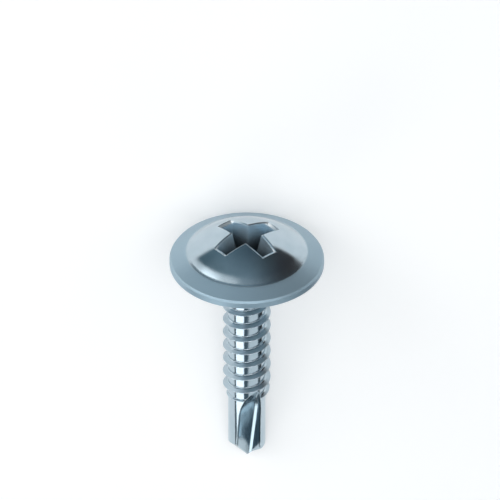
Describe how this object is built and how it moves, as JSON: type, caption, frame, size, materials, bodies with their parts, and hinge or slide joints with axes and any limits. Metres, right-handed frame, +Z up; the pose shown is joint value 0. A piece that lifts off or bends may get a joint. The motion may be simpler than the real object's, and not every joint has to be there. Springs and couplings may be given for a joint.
{
  "type": "self drilling screw",
  "caption": "Zinc plated steel self drilling screw with a wide flanged domed head, a cross recess, a coarse right hand thread and a fluted drill point.",
  "frame": {"origin": "on the surface the screw lies on, under the middle of its bounding box", "axes": "+Z up; the screw lies along X with its head toward +X, its axis rising toward the head, its drill point toward -X"},
  "size_m": [0.0302, 0.0174, 0.017],
  "materials": {
    "zinc_plate": "bright blue white zinc plating"
  },
  "bodies": {
    "root": {"drilling_screw": "zinc_plate"}
  },
  "joints": []
}
